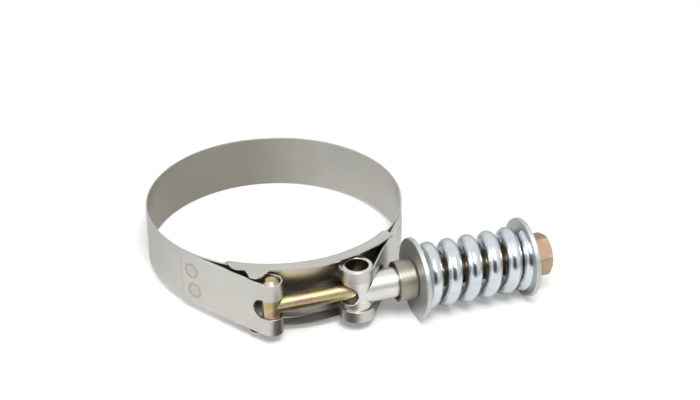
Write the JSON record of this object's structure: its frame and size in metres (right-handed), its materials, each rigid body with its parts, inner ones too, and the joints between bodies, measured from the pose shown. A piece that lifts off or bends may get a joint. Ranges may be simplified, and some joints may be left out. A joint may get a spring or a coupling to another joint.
{
  "type": "spring loaded t-bolt hose clamp",
  "caption": "Spring loaded T-bolt clamp: a steel band with folded loops closes round a hose when the sleeve nut draws the bolt against a coil spring.",
  "frame": {"origin": "centre of the hose bore, at the middle of the band's width", "axes": "+Z along the hose bore, +X along the bolt from its cross bar to the nut, -Y from the hose to the bolt"},
  "size_m": [0.123, 0.1062, 0.0266],
  "materials": {
    "stainless_band": "satin rolled strip",
    "stainless_bridge": "bright rolled sheet",
    "yellow_zinc": "yellow passivated zinc",
    "trunnion_steel": "satin",
    "bush_steel": "satin",
    "bright_zinc": "bright zinc plating"
  },
  "bodies": {
    "clamp": {"band": "stainless_band", "t_bolt": "yellow_zinc", "trunnion": "trunnion_steel", "guide_bush": "bush_steel", "inner_washer": "bright_zinc", "spring": "bright_zinc"},
    "bridge": {"bridge": "stainless_bridge"},
    "end_washer": {"outer_washer": "bright_zinc"},
    "nut": {"sleeve_nut": "yellow_zinc"}
  },
  "joints": [
    {"name": "bridge_float", "type": "hinge", "parent": "clamp", "child": "bridge", "pos_m": [0, 0, 0], "axis": [0, 0, 1], "range_deg": [-2, 2]},
    {"name": "washer_slide", "type": "slide", "parent": "clamp", "child": "end_washer", "axis": [-1, 0, 0], "range_m": [0, 0.00544], "deforming": ["spring"]},
    {"name": "nut_turn", "type": "hinge", "parent": "end_washer", "child": "nut", "pos_m": [0.0754, -0.04933, 0], "axis": [-1, 0, 0], "range_deg": [0, 2160]}
  ],
  "couplings": [
    {"joint": "nut_turn", "follows": "washer_slide", "rad_per_m": 6927.1}
  ]
}
